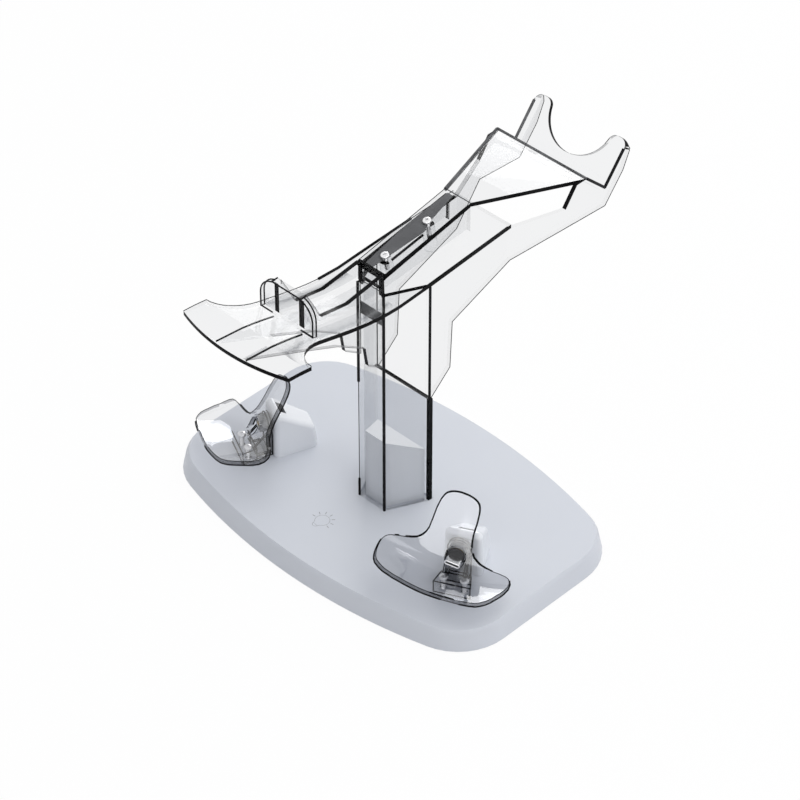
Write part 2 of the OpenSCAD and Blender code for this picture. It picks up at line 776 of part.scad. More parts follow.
module cradle_block(side) {
    color([0.93, 0.94, 0.96]) at_cradle(side) difference() {
        union() {
            difference() {
                block_form(0, 0);
                block_form(block_wall, -over - block_edge_r);
            }
            intersection() {
                block_mounts(0) cylinder(h = block_front_h, r = boss_r, $fn = fine);
                block_form(block_wall / 2, 0);
            }
        }
        block_mounts(-over) cylinder(h = block_boss_h + over, r = pilot_r, $fn = fine);
        translate([slot_x - slot_w / 2, slot_y, block_front_h - slot_d])
            cube([slot_w, slot_l, slot_d + over]);
        translate([contact_x, contact_back, contact_z]) rotate([90, 0, 0])
            cylinder(h = 2 * contact_back, r = contact_r + pass_gap, $fn = fine);
    }
}
pass_gap = 0.1;

module along_contact(back) {
    translate([contact_x, back, contact_z]) rotate([90, 0, 0]) children();
}

module contact_body(side) {
    depth = contact_back - contact_front;
    recess = magnet_t;
    color([0.12, 0.12, 0.13]) at_cradle(side) along_contact(contact_back) difference() {
        cylinder(h = depth, r = contact_r, $fn = fine);
        translate([0, 0, depth - recess]) difference() {
            cylinder(h = recess + over, r = magnet_out + pass_gap, $fn = fine);
            translate([0, 0, -over])
                cylinder(h = recess + 3 * over, r = magnet_in - pass_gap, $fn = fine);
        }
        contact_holes() translate([0, 0, -over])
            cylinder(h = depth + 2 * over, r = pin_r + pass_gap / 2, $fn = fine);
    }
}
magnet_t = 2;
magnet_out_share = 0.86;
magnet_in_share = 0.56;
magnet_out = contact_r * magnet_out_share;
magnet_in = contact_r * magnet_in_share;
pin_r = 0.35;
pin_pitch = 1.1;

module contact_holes() {
    for (x = [-pin_pitch, 0, pin_pitch], y = [-pin_pitch / 2, pin_pitch / 2]) translate([x, y, 0])
        children();
}

module contact_magnet(side) {
    depth = contact_back - contact_front;
    color([0.75, 0.76, 0.78]) at_cradle(side) along_contact(contact_back)
        translate([0, 0, depth - magnet_t]) difference() {
            cylinder(h = magnet_t, r = magnet_out, $fn = fine);
            translate([0, 0, -over]) cylinder(h = magnet_t + 2 * over, r = magnet_in, $fn = fine);
        }
}

module contact_pins(side) {
    depth = contact_back - contact_front;
    color([0.9, 0.75, 0.35]) at_cradle(side) along_contact(contact_back)
        contact_holes() cylinder(h = depth + pin_out, r = pin_r, $fn = fine);
}
pin_out = 0.1;

// Clear bracket: screwed foot, two gussets and an arch around the contact
module cradle_bracket(side) {
    color([0.85, 0.9, 0.95, 0.4]) at_cradle(side) difference() {
        union() {
            linear_extrude(foot_h) polygon([[-foot_front_half, foot_front], [foot_front_half, foot_front],
                [foot_back_half, foot_front + foot_l], [-foot_back_half, foot_front + foot_l]]);
            linear_extrude(bracket_base_t) polygon([[-foot_back_half, foot_front + foot_l - over],
                [foot_back_half, foot_front + foot_l - over], [arch_half + contact_x, arch_y],
                [-arch_half + contact_x, arch_y]]);
            translate([contact_x, arch_y, 0]) rotate([90, 0, 0]) linear_extrude(arch_t) {
                translate([-arch_half, 0]) square([2 * arch_half, contact_z]);
                translate([0, contact_z]) circle(r = arch_half, $fn = fine);
            }
            for (sx = [-1, 1])
                translate([contact_x + sx * (arch_half - gusset_t / 2) - gusset_t / 2, 0, 0])
                rotate([90, 0, 90]) linear_extrude(gusset_t)
                    polygon([[foot_front + foot_l - over, 0], [foot_front + foot_l - over, foot_h],
                        [arch_y - arch_t / 2, contact_z - over], [arch_y - arch_t / 2, 0]]);
        }
        along_contact(contact_back) cylinder(h = 3 * contact_back, r = contact_r + pass_gap, $fn = fine);
        bracket_mounts(-over) cylinder(h = foot_h + 2 * over, r = pass_r, $fn = fine);
    }
}

module bracket_screws() {
    color([0.8, 0.8, 0.82]) for (side = [-1, 1]) at_cradle(side)
        bracket_mounts(foot_h) rotate([180, 0, 0]) screw(foot_h + bracket_screw_in);
}

// Curve of the rest plate in its side view: shelf, bend and tongue
rest_l = shelf_l + bend_l + tongue_l;
bend_a = tongue_slope - shelf_slope;
bend_r = bend_l * 180 / PI / bend_a;
function rest_slope(t) = shelf_slope + bend_a * min(1, max(0, (t - shelf_l) / bend_l));
function rest_curve(t) = let (a = rest_slope(t), s = min(t, shelf_l), e = max(0, t - shelf_l - bend_l))
    [s * cos(shelf_slope) + bend_r * (sin(a) - sin(shelf_slope)) + e * cos(tongue_slope),
        s * sin(shelf_slope) + bend_r * (cos(shelf_slope) - cos(a)) + e * sin(tongue_slope)];
function row_half(r, u) = r[u < 0 ? 1 : 2] * (lobe_half_w - tongue_half_w) + r[3] * tongue_half_w;
lift_k = lobe_lift / pow(lobe_half_w, 2);
bend_start = rest_curve(shelf_l);
function rest_point(r, u, side) = let (t = rest_l * r[0], a = rest_slope(t), c = rest_curve(t) - bend_start,
    x = row_half(r, u) * u, n = unit([-2 * lift_k * x, -sin(a), cos(a)]))
    [x, c[0], c[1] + lift_k * x * x] + n * side * rest_t / 2;
function sheet_points(side) = [for (r = row_shares, j = [-row_half_steps:row_half_steps])
    rest_point(r, j / row_half_steps, side)];

module rest_sheet() {
    rows = len(row_shares);
    cols = 2 * row_half_steps + 1;
    n = rows * cols;
    polyhedron(
        points = concat(sheet_points(1), sheet_points(-1)),
        faces = concat(
            [for (i = [0:rows - 2], j = [0:cols - 2]) let (k = i * cols + j) each
                [[k, k + cols, k + cols + 1], [k, k + cols + 1, k + 1],
                    [n + k, n + k + cols + 1, n + k + cols], [n + k, n + k + 1, n + k + cols + 1]]],
            [for (i = [0:rows - 2]) let (k = i * cols, m = k + cols - 1) each
                [[k, n + k, n + k + cols], [k, n + k + cols, k + cols],
                    [m, m + cols, n + m + cols], [m, n + m + cols, n + m]]],
            [for (j = [0:cols - 2]) let (m = n - cols + j) each
                [[j, j + 1, n + j + 1], [j, n + j + 1, n + j],
                    [m, n + m, n + m + 1], [m, n + m + 1, m + 1]]]));
}

module cradle_rest(side) {
    color([0.85, 0.9, 0.95, 0.35]) at_cradle(side) difference() {
        translate(rest_bend_pos) rotate([0, rest_lean, rest_turn]) rest_sheet();
        along_contact(0) cylinder(h = rest_hole_l, r = rest_hole_r, $fn = fine);
    }
}

// Magnetic adapter on the right contact, turned with the plate's lean
face_gap = 0.1;
adapter_face_t = 0.7;
adapter_flange_t = 2;
adapter_flange_lip = 0.1;
adapter_flange_r = contact_r + adapter_flange_lip;
plug_w = 8.26;
plug_h = 2.4;
plug_l = 5.4;
plug_wall = 0.3;
plug_tongue_share = 0.78;

module at_adapter(depth) {
    at_cradle(1) along_contact(contact_front - pin_out - face_gap - depth) rotate([0, 0, -rest_lean])
        children();
}

module adapter_face() {
    color([0.8, 0.78, 0.6]) at_adapter(0) cylinder(h = adapter_face_t, r = magnet_out, $fn = fine);
}

module adapter_flange() {
    color([0.1, 0.1, 0.11]) at_adapter(adapter_face_t)
        cylinder(h = adapter_flange_t, r = adapter_flange_r, $fn = fine);
}

module adapter_plug() {
    color([0.85, 0.86, 0.88]) at_adapter(adapter_face_t + adapter_flange_t) difference() {
        linear_extrude(plug_l) pill(plug_w, plug_h);
        translate([0, 0, plug_wall]) linear_extrude(plug_l)
            pill(plug_w - 2 * plug_wall, plug_h - 2 * plug_wall);
    }
}

module adapter_tongue() {
    tongue_w = plug_w * plug_tongue_share;
    color([0.15, 0.15, 0.16]) at_adapter(adapter_face_t + adapter_flange_t + plug_wall)
        for (sy = [-1, 1])
            translate([-tongue_w / 2, sy * (plug_h / 2 - 2 * plug_wall) - plug_wall / 2, 0])
            cube([tongue_w, plug_wall, plug_l - 2 * plug_wall]);
}

base_cover();
base_plate();
base_screws();
rubber_feet();
weight(-1);  // weight_left
weight(1);  // weight_right
circuit_board();
board_screws();
usb_inlet();
touch_pad();
lamp_board();
lamp_leds();
stand_block();
mounting_screws();
stand_column();
headset_tray();
tray_screws();
cradle_block(-1);  // cradle_block_left
cradle_block(1);  // cradle_block_right
contact_body(-1);  // contact_body_left
contact_body(1);  // contact_body_right
contact_magnet(-1);  // contact_magnet_left
contact_magnet(1);  // contact_magnet_right
contact_pins(-1);  // contact_pins_left
contact_pins(1);  // contact_pins_right
cradle_bracket(-1);  // cradle_bracket_left
cradle_bracket(1);  // cradle_bracket_right
bracket_screws();
cradle_rest(-1);  // cradle_rest_left
cradle_rest(1);  // cradle_rest_right
adapter_face();
adapter_flange();
adapter_plug();
adapter_tongue();
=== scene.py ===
import math
import random

import bmesh
import bpy
from mathutils import Matrix, Vector
from mathutils.bvhtree import BVHTree


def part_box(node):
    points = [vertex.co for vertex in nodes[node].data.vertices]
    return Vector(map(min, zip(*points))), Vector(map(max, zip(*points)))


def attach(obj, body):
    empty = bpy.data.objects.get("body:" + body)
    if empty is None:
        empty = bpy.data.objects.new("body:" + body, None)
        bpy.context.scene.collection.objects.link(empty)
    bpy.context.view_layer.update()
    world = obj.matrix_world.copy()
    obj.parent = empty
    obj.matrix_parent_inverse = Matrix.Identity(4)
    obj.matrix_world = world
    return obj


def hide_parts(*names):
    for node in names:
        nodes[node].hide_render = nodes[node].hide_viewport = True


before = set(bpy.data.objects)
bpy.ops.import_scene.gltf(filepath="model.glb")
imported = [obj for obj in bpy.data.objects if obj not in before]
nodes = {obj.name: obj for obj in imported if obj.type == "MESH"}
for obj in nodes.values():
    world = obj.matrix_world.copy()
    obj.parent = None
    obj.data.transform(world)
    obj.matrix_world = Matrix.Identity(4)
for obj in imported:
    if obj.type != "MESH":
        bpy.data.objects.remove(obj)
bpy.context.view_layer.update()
mm = 0.001
micron = 0.000001
joinGap = 0.000002  # a CAD mesh is loose triangles, joined again within this distance
print("frame loaded:", len(nodes), "nodes")


# Camera at the photograph's viewing angle
cameraView = {
    "place": (1.015815, -1.03338, 1.308509),
    "look": (-0.53198, 0.54525, -0.64785),
    "lens": 162.27,
    "sensor": 36.0,
    "reach": 20,
}
cameraData = bpy.data.cameras.new("dockCamera")
cameraData.lens = cameraView["lens"]
cameraData.sensor_width = cameraView["sensor"]
cameraData.clip_end = cameraView["reach"]
cameraItem = bpy.data.objects.new("dockCamera", cameraData)
cameraItem.location = cameraView["place"]
cameraItem.rotation_euler = Vector(cameraView["look"]).to_track_quat("-Z", "Y").to_euler()
bpy.context.scene.collection.objects.link(cameraItem)
bpy.context.scene.camera = cameraItem
bpy.context.scene.view_settings.view_transform = "Standard"


# Small helpers for node materials
noiseForm = {"low": 0.3, "high": 0.7, "detail": 3.0}  # nearly all of the noise lies between low and high


def newMaterial(name):
    material = bpy.data.materials.new(name)
    material.use_nodes = True
    tree = material.node_tree
    tree.nodes.clear()
    output = tree.nodes.new("ShaderNodeOutputMaterial")
    return material, tree, output


def link(tree, start, end):
    tree.links.new(start, end)


def objectPoints(tree, scale):
    coords = tree.nodes.new("ShaderNodeTexCoord")
    mapping = tree.nodes.new("ShaderNodeMapping")
    mapping.inputs["Scale"].default_value = (scale, scale, scale)
    link(tree, coords.outputs["Object"], mapping.inputs["Vector"])
    return mapping.outputs["Vector"]


def noiseOf(tree, scale, detail=noiseForm["detail"]):
    noise = tree.nodes.new("ShaderNodeTexNoise")
    noise.inputs["Scale"].default_value = 1.0
    noise.inputs["Detail"].default_value = detail
    link(tree, objectPoints(tree, scale), noise.inputs["Vector"])
    return noise.outputs["Fac"]


def rangeOf(tree, value, low, high):
    remap = tree.nodes.new("ShaderNodeMapRange")
    remap.inputs["From Min"].default_value = noiseForm["low"]
    remap.inputs["From Max"].default_value = noiseForm["high"]
    remap.inputs["To Min"].default_value = low
    remap.inputs["To Max"].default_value = high
    link(tree, value, remap.inputs["Value"])
    return remap.outputs["Result"]


def tintOf(tree, value, colorA, colorB):
    mix = tree.nodes.new("ShaderNodeMix")
    mix.data_type = "RGBA"
    mix.inputs["A"].default_value = (*colorA, 1)
    mix.inputs["B"].default_value = (*colorB, 1)
    link(tree, value, mix.inputs["Factor"])
    return mix.outputs["Result"]


def cloudTint(tree, scale, colorA, colorB):
    return tintOf(tree, rangeOf(tree, noiseOf(tree, scale), 0.0, 1.0), colorA, colorB)


def bumpOf(tree, value, depth):
    bump = tree.nodes.new("ShaderNodeBump")
    bump.inputs["Strength"].default_value = 1.0
    bump.inputs["Distance"].default_value = depth
    link(tree, value, bump.inputs["Height"])
    return bump.outputs["Normal"]


def mathOf(tree, operation, *values):
    step = tree.nodes.new("ShaderNodeMath")
    step.operation = operation
    for place, value in enumerate(values):
        if isinstance(value, (int, float)):
            step.inputs[place].default_value = value
        else:
            link(tree, value, step.inputs[place])
    return step.outputs[0]


# Mixes two shaders into the output and gives the socket of the second one's share
def mixInto(tree, first, second, output):
    mix = tree.nodes.new("ShaderNodeMixShader")
    link(tree, first, mix.inputs[1])
    link(tree, second, mix.inputs[2])
    link(tree, mix.outputs["Shader"], output.inputs["Surface"])
    return mix.inputs["Fac"]


# A solid finish: two close colours in large soft clouds, fine grain in the bump and the gloss
solidForm = {
    "cloud": 18.0, "coatRough": 0.06, "glossGrain": 0.2, "glossLow": 0.85, "glossHigh": 1.15, "grainDetail": 2.0,
}


def solidFinish(name, colorA, colorB, rough, grain, depth, metal=0.0, coat=0.0):
    v = solidForm
    material, tree, output = newMaterial(name)
    shader = tree.nodes.new("ShaderNodeBsdfPrincipled")
    shader.inputs["Metallic"].default_value = metal
    shader.inputs["Coat Weight"].default_value = coat
    shader.inputs["Coat Roughness"].default_value = v["coatRough"]
    link(tree, cloudTint(tree, v["cloud"], colorA, colorB), shader.inputs["Base Color"])
    gloss = rangeOf(tree, noiseOf(tree, grain * v["glossGrain"]), rough * v["glossLow"], rough * v["glossHigh"])
    link(tree, gloss, shader.inputs["Roughness"])
    link(tree, bumpOf(tree, noiseOf(tree, grain, v["grainDetail"]), depth * micron), shader.inputs["Normal"])
    link(tree, shader.outputs["BSDF"], output.inputs["Surface"])
    return material


# name, two colours, roughness, grain's fineness, grain's depth in micrometres
coverFinish = solidFinish("coverSatinPlastic", (0.62, 0.645, 0.70), (0.635, 0.66, 0.712), 0.42, 2600, 4)
blockFinish = solidFinish("blockGlossPlastic", (0.80, 0.82, 0.86), (0.82, 0.84, 0.875), 0.16, 900, 1, coat=0.5)
# Painted shade: a dark finish for the inner walls of the cradle blocks' slots and hollows, where shade falls
slotPaintedShade = solidFinish("slotPaintedShadePlastic", (0.13, 0.135, 0.145), (0.16, 0.165, 0.175), 0.5, 900, 1)
contactFinish = solidFinish("contactGreyPlastic", (0.26, 0.265, 0.275), (0.30, 0.305, 0.315), 0.3, 2200, 3, coat=0.3)
darkFinish = solidFinish("blackSatinPlastic", (0.012, 0.012, 0.014), (0.02, 0.02, 0.022), 0.38, 2200, 4)
plateFinish = solidFinish("bottomPlatePlastic", (0.022, 0.023, 0.026), (0.03, 0.031, 0.034), 0.5, 1500, 8)
rubberFinish = solidFinish("footRubber", (0.012, 0.012, 0.012), (0.02, 0.02, 0.02), 0.8, 1800, 10)
weightFinish = solidFinish("rolledSteel", (0.30, 0.31, 0.33), (0.38, 0.39, 0.41), 0.5, 700, 10, metal=1.0)
screwFinish = solidFinish("screwNickel", (0.78, 0.78, 0.79), (0.86, 0.86, 0.87), 0.34, 1500, 2, metal=1.0)
# Painted highlight: a brighter copy of the shell nickel for the plug's lip
lipHighlightNickel = solidFinish("plugLipPaintedHighlightNickel", (0.90, 0.90, 0.91), (0.95, 0.95, 0.96), 0.3, 1200, 1, metal=1.0)
shellFinish = solidFinish("shellNickel", (0.72, 0.73, 0.75), (0.78, 0.79, 0.80), 0.16, 1200, 1, metal=1.0)
goldFinish = solidFinish("contactGold", (0.80, 0.58, 0.22), (0.86, 0.64, 0.27), 0.18, 1500, 1, metal=1.0)
copperFinish = solidFinish("keyCopper", (0.70, 0.36, 0.20), (0.76, 0.42, 0.25), 0.3, 1500, 2, metal=1.0)
boardFinish = solidFinish("boardGreen", (0.018, 0.11, 0.045), (0.028, 0.15, 0.06), 0.3, 1500, 3, coat=0.3)
lampBoardFinish = solidFinish("lampBoardWhite", (0.76, 0.76, 0.73), (0.82, 0.82, 0.80), 0.35, 1500, 3)
ledFinish = solidFinish("ledPhosphor", (0.90, 0.76, 0.25), (0.92, 0.82, 0.34), 0.3, 1500, 3, coat=0.4)
printFinish = solidFinish("printGrey", (0.24, 0.25, 0.27), (0.26, 0.27, 0.29), 0.5, 1500, 2)


# Clear acrylic, seen through its broad faces: a slight grey and a clean gloss that grows at a flat angle
acrylicForm = {
    "grain": 300.0, "roughLow": 0.015, "roughHigh": 0.03, "blend": 0.5, "steepness": 5.0,
    "edgeSpecular": 0.03, "edgeGrain": 600.0, "edgeRoughLow": 0.2, "edgeRoughHigh": 0.34,
}


def clearFinish(name, tint, gloss, edgeTint, base):
    v = acrylicForm
    material, tree, output = newMaterial(name)
    clear = tree.nodes.new("ShaderNodeBsdfTransparent")
    shine = tree.nodes.new("ShaderNodeBsdfGlossy")
    shine.inputs["Color"].default_value = (1, 1, 1, 1)
    rough = rangeOf(tree, noiseOf(tree, v["grain"]), v["roughLow"], v["roughHigh"])
    link(tree, rough, shine.inputs["Roughness"])
    facing = tree.nodes.new("ShaderNodeLayerWeight")
    facing.inputs["Blend"].default_value = v["blend"]
    steep = mathOf(tree, "POWER", facing.outputs["Facing"], v["steepness"])
    link(tree, tintOf(tree, steep, tint, edgeTint), clear.inputs["Color"])
    share = mixInto(tree, clear.outputs["BSDF"], shine.outputs["BSDF"], output)
    link(tree, mathOf(tree, "MULTIPLY_ADD", steep, gloss, base), share)
    return material


# Cut or bent acrylic, painted shade: coloured dark with paler streaks in place of the light that runs out of it
# sideways
def edgePaintedShade(name, dark, pale, share, grain):
    v = acrylicForm
    material, tree, output = newMaterial(name)
    shader = tree.nodes.new("ShaderNodeBsdfPrincipled")
    shader.inputs["Specular IOR Level"].default_value = v["edgeSpecular"]
    link(tree, cloudTint(tree, grain, dark, pale), shader.inputs["Base Color"])
    rough = rangeOf(tree, noiseOf(tree, v["edgeGrain"]), v["edgeRoughLow"], v["edgeRoughHigh"])
    link(tree, rough, shader.inputs["Roughness"])
    clear = tree.nodes.new("ShaderNodeBsdfTransparent")
    mixInto(tree, clear.outputs["BSDF"], shader.outputs["BSDF"], output).default_value = share
    return material


# name, tint, gloss gained at a flat angle, tint there, gloss seen square on
sheetClear = clearFinish("clearSheet", (0.944, 0.946, 0.949), 0.25, (0.66, 0.67, 0.69), 0.006)
# Lit and shaded copies of one grey acrylic: the right rest plate darker, painted shade, the left one clearer, a
# painted reflection of the white surroundings
restTintAndShade = clearFinish("clearRestPlateTintAndShade", (0.82, 0.825, 0.84), 0.7, (0.50, 0.51, 0.53), 0.05)
restTintAndLight = clearFinish("clearRestPlateLeftTintAndLight", (0.92, 0.922, 0.93), 0.7, (0.60, 0.61, 0.63), 0.05)
# Painted shade: darker tints for the rest plates' cut edges
restEdgeShade = clearFinish("clearRestEdgePaintedShade", (0.52, 0.525, 0.54), 0.4, (0.30, 0.305, 0.32), 0.06)
restEdgeShadeDark = clearFinish("clearRestEdgePaintedShadeDark", (0.34, 0.345, 0.36), 0.2, (0.2, 0.205, 0.22), 0.03)
bracketClear = clearFinish("clearBracket", (0.965, 0.967, 0.972), 0.5, (0.72, 0.73, 0.75), 0.03)
# Painted shade for the clear sheets: cut edges, rim beads and fold beads
# name, dark and paler colour, how much of the light is stopped, size of the streaks
edgeShadeBlack = edgePaintedShade("sheetEdgePaintedShadeBlack", (0.001, 0.001, 0.0012), (0.010, 0.010, 0.011), 1.0, 60)
edgeShadeGrey = edgePaintedShade("sheetEdgePaintedShadeGrey", (0.16, 0.162, 0.167), (0.26, 0.263, 0.27), 0.5, 90)
edgeShadeFaint = edgePaintedShade("sheetEdgePaintedShadeFaint", (0.45, 0.453, 0.46), (0.60, 0.605, 0.615), 0.16, 90)
rimShadeBlack = edgePaintedShade("sheetRimPaintedShade", (0.003, 0.003, 0.0032), (0.02, 0.02, 0.022), 1.0, 50)
# Painted shade and painted reflection: the grey of the dark plates put inside the sheets
paintedShadeGrey = edgePaintedShade("sheetPaintedShade", (0.11, 0.111, 0.115), (0.17, 0.172, 0.178), 1.0, 60)
foldShadeGrey = edgePaintedShade("sheetFoldPaintedShade", (0.05, 0.051, 0.054), (0.16, 0.163, 0.17), 0.8, 70)
print("materials ready:", len(bpy.data.materials))


# Helpers for selecting, joining and finishing pieces
def deselectAll():
    if bpy.context.object and bpy.context.object.mode != "OBJECT":
        bpy.ops.object.mode_set(mode="OBJECT")
    bpy.ops.object.select_all(action="DESELECT")


def selectOnly(piece):
    deselectAll()
    piece.select_set(True)
    bpy.context.view_layer.objects.active = piece


def setMaterial(piece, *materials):
    piece.data.materials.clear()
    for material in materials:
        piece.data.materials.append(material)


def finishPiece(piece, material, slotName, *replaced):
    if material:
        setMaterial(piece, material)
    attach(piece, "root")
    if replaced:
        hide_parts(*replaced)


def newPiece(name, data):
    piece = bpy.data.objects.new(name, data)
    bpy.context.scene.collection.objects.link(piece)
    return piece


def pieceFrom(form, name):
    mesh = bpy.data.meshes.new(name)
    form.to_mesh(mesh)
    form.free()
    return newPiece(name, mesh)


def joinPieces(pieces, name):
    deselectAll()
    for piece in pieces:
        piece.select_set(True)
    bpy.context.view_layer.objects.active = pieces[0]
    if len(pieces) > 1:
        bpy.ops.object.join()
    joined = bpy.context.view_layer.objects.active
    joined.name = name
    return joined


def joinedForm(node):
    form = bmesh.new()
    form.from_mesh(nodes[node].data)
    bmesh.ops.remove_doubles(form, verts=form.verts, dist=joinGap)
    return form


# A joined copy of a CAD node's loose triangles; with an angle, flat faces become whole again
def mergedCopy(node, name, flat=0.0):
    mesh = nodes[node].data.copy()
    piece = newPiece(name, mesh)
    form = joinedForm(node)
    if flat:
        bmesh.ops.dissolve_limit(form, angle_limit=math.radians(flat), verts=form.verts, edges=form.edges)
    form.to_mesh(mesh)
    form.free()
    mesh.update()
    return piece


def smoothPiece(piece, angle, weight):
    selectOnly(piece)
    bpy.ops.object.shade_smooth_by_angle(angle=math.radians(angle))
    weighted = piece.modifiers.new("weighted", "WEIGHTED_NORMAL")
    weighted.keep_sharp = True
    weighted.weight = weight
    bpy.ops.object.modifier_apply(modifier=weighted.name)


beadForm = {"sides": 6, "shortest": 0.00001}


# Thin closed beads along straight runs: start, end, radius, material index
def addBeads(form, runs, sides=beadForm["sides"]):
    for start, end, radius, materialIndex in runs:
        way = end - start
        if way.length < beadForm["shortest"]:
            continue
        turn = Vector((0, 0, 1)).rotation_difference(way.normalized()).to_matrix()
        rings = []
        for point in (start, end):
            ring = []
            for side in range(sides):
                angle = math.tau * side / sides
                spoke = Vector((radius * math.cos(angle), radius * math.sin(angle), 0))
                ring.append(form.verts.new(point + turn @ spoke))
            rings.append(ring)
        faces = []
        for side in range(sides):
            after = (side + 1) % sides
            faces.append(form.faces.new((rings[0][side], rings[0][after], rings[1][after], rings[1][side])))
        faces.append(form.faces.new(list(reversed(rings[0]))))
        faces.append(form.faces.new(rings[1]))
        for face in faces:
            face.material_index = materialIndex
            face.smooth = False


# Opaque nodes: the CAD form with fine rounded edges of a width in millimetres and a number of steps
roundedNodes = {
    "base_cover": ("baseCover", coverFinish, "cover_white", 0.35, 3),
    "base_plate": ("basePlate", plateFinish, "dark_plastic", 0.3, 2),
    "rubber_feet": ("rubberFeet", rubberFinish, "feet_rubber", 0.2, 3),
    "stand_block": ("standBlock", blockFinish, "block_white", 0.5, 4),
    "cradle_block_left": ("cradleBlockLeft", blockFinish, "block_white", 0.3, 3),
    "cradle_block_right": ("cradleBlockRight", blockFinish, "block_white", 0.3, 3),
    "contact_body_left": ("contactBodyLeft", contactFinish, "dark_plastic", 0.15, 3),
    "contact_body_right": ("contactBodyRight", contactFinish, "dark_plastic", 0.15, 3),
    "contact_magnet_left": ("contactMagnetLeft", shellFinish, "shell_metal", 0.12, 2),
    "contact_magnet_right": ("contactMagnetRight", shellFinish, "shell_metal", 0.12, 2),
    "contact_pins_left": ("contactPinsLeft", goldFinish, "contact_gold", 0.14, 3),
    "contact_pins_right": ("contactPinsRight", goldFinish, "contact_gold", 0.14, 3),
    "usb_inlet": ("usbInlet", shellFinish, "shell_metal", 0.08, 2),
    "adapter_face": ("adapterFace", goldFinish, "contact_gold", 0.15, 3),
    "adapter_flange": ("adapterFlange", darkFinish, "dark_plastic", 0.3, 4),
    "adapter_plug": ("adapterPlug", shellFinish, "shell_metal", 0.1, 2),
    "adapter_tongue": ("adapterTongue", darkFinish, "dark_plastic", 0.06, 1),
}
roundedForm = {
    "sharp": 38, "smooth": 32, "weight": 50,
    "slotReach": 8.5 * mm,  # walls that face each other closer than this are inside a slot or a hollow
    "skin": 0.00002,
}


def bevelSharp(piece, width, steps):
    selectOnly(piece)
    bevel = piece.modifiers.new("edge", "BEVEL")
    bevel.width = width
    bevel.segments = steps
    bevel.limit_method = "ANGLE"
    bevel.angle_limit = math.radians(roundedForm["sharp"])
    bpy.ops.object.modifier_apply(modifier=bevel.name)
    smoothPiece(piece, roundedForm["smooth"], roundedForm["weight"])


# The inside of a slot or hollow takes its second finish, a dark painted shade
def paintShadeInside(piece, inner):
    piece.data.materials.append(inner)
    form = bmesh.new()
    form.from_mesh(piece.data)
    tree = BVHTree.FromBMesh(form)
    for face in form.faces:
        middle = face.calc_center_median()
        hit = tree.ray_cast(middle + face.normal * roundedForm["skin"], face.normal)
        if hit[0] is not None and hit[3] < roundedForm["slotReach"]:
            face.material_index = 1
    form.to_mesh(piece.data)
    form.free()


for node, (name, material, slotName, width, steps) in roundedNodes.items():
    piece = mergedCopy(node, name)
    bevelSharp(piece, width * mm, steps)
    finishPiece(piece, material, slotName, node)
    if node.startswith("cradle_block"):
        paintShadeInside(piece, slotPaintedShade)
print("rounded pieces:", len(roundedNodes))


# The plug's open end catches the light: a fine rolled lip round it, in a brighter nickel as a painted highlight
plugLip = {"way": (0.446, -0.895, 0.0), "lipR": 0.26, "endDepth": 0.00003, "sharp": 50, "sides": 8}


def makePlugLip():
    v = plugLip
    source = joinedForm("adapter_plug")
    way = Vector(v["way"]).normalized()
    reach = max(vert.co.dot(way) for vert in source.verts)
    runs = []
    for edge in source.edges:
        atEnd = all(reach - vert.co.dot(way) < v["endDepth"] for vert in edge.verts)
        if atEnd and len(edge.link_faces) == 2 and edge.calc_face_angle(0.0) > math.radians(v["sharp"]):
            runs.append((edge.verts[0].co.copy(), edge.verts[1].co.copy(), v["lipR"] * mm, 0))
    form = bmesh.new()
    addBeads(form, runs, v["sides"])
    source.free()
    finishPiece(pieceFrom(form, "plugLip"), lipHighlightNickel, "shell_metal")
    print("plug lip edges:", len(runs))


makePlugLip()


# Nodes that keep their CAD mesh
plainNodes = {
    "weight_left": weightFinish,
    "weight_right": weightFinish,
    "circuit_board": boardFinish,
    "touch_pad": copperFinish,
    "lamp_board": lampBoardFinish,
    "lamp_leds": ledFinish,
}
for node, material in plainNodes.items():
    setMaterial(nodes[node], material)


# Screws: a domed head with a cross recess and a real thread, in millimetres
screwForm = {
    "head": ((0.35, 0.0), (1.0, 0.03), (1.6, 0.1), (2.05, 0.26), (2.32, 0.55), (2.4, 0.9), (2.4, 1.4)),
    "headH": 1.4, "shankR": 1.2, "coreR": 0.95, "pitch": 0.6, "around": 24, "perPitch": 8, "fewestRows": 12,
    "startL": 0.5, "endL": 0.9, "tipL": 0.5, "tipShare": 0.6, "tipGrow": 0.8,
    "crossW": 0.62, "crossL": 2.6, "crossDepth": 0.85, "crossTaperL": 0.45, "crossTaperW": 0.7,
    "firstTurn": 0.6, "nextTurn": 0.9, "smooth": 35, "endDepth": 0.00002,
}
screwNodes = {
    "tray_screws": "traySilverScrew",
    "bracket_screws": "bracketScrew",
    "base_screws": "baseClosingScrew",
    "mounting_screws": "mountingScrew",
    "board_screws": "boardScrew",
}


def looseParts(form):
    left = set(form.verts)
    for first in form.verts:
        if first not in left:
            continue
        left.remove(first)
        group = []
        queue = [first]
        while queue:
            vert = queue.pop()
            group.append(vert)
            for edge in vert.link_edges:
                other = edge.other_vert(vert)
                if other in left:
                    left.remove(other)
                    queue.append(other)
        yield group


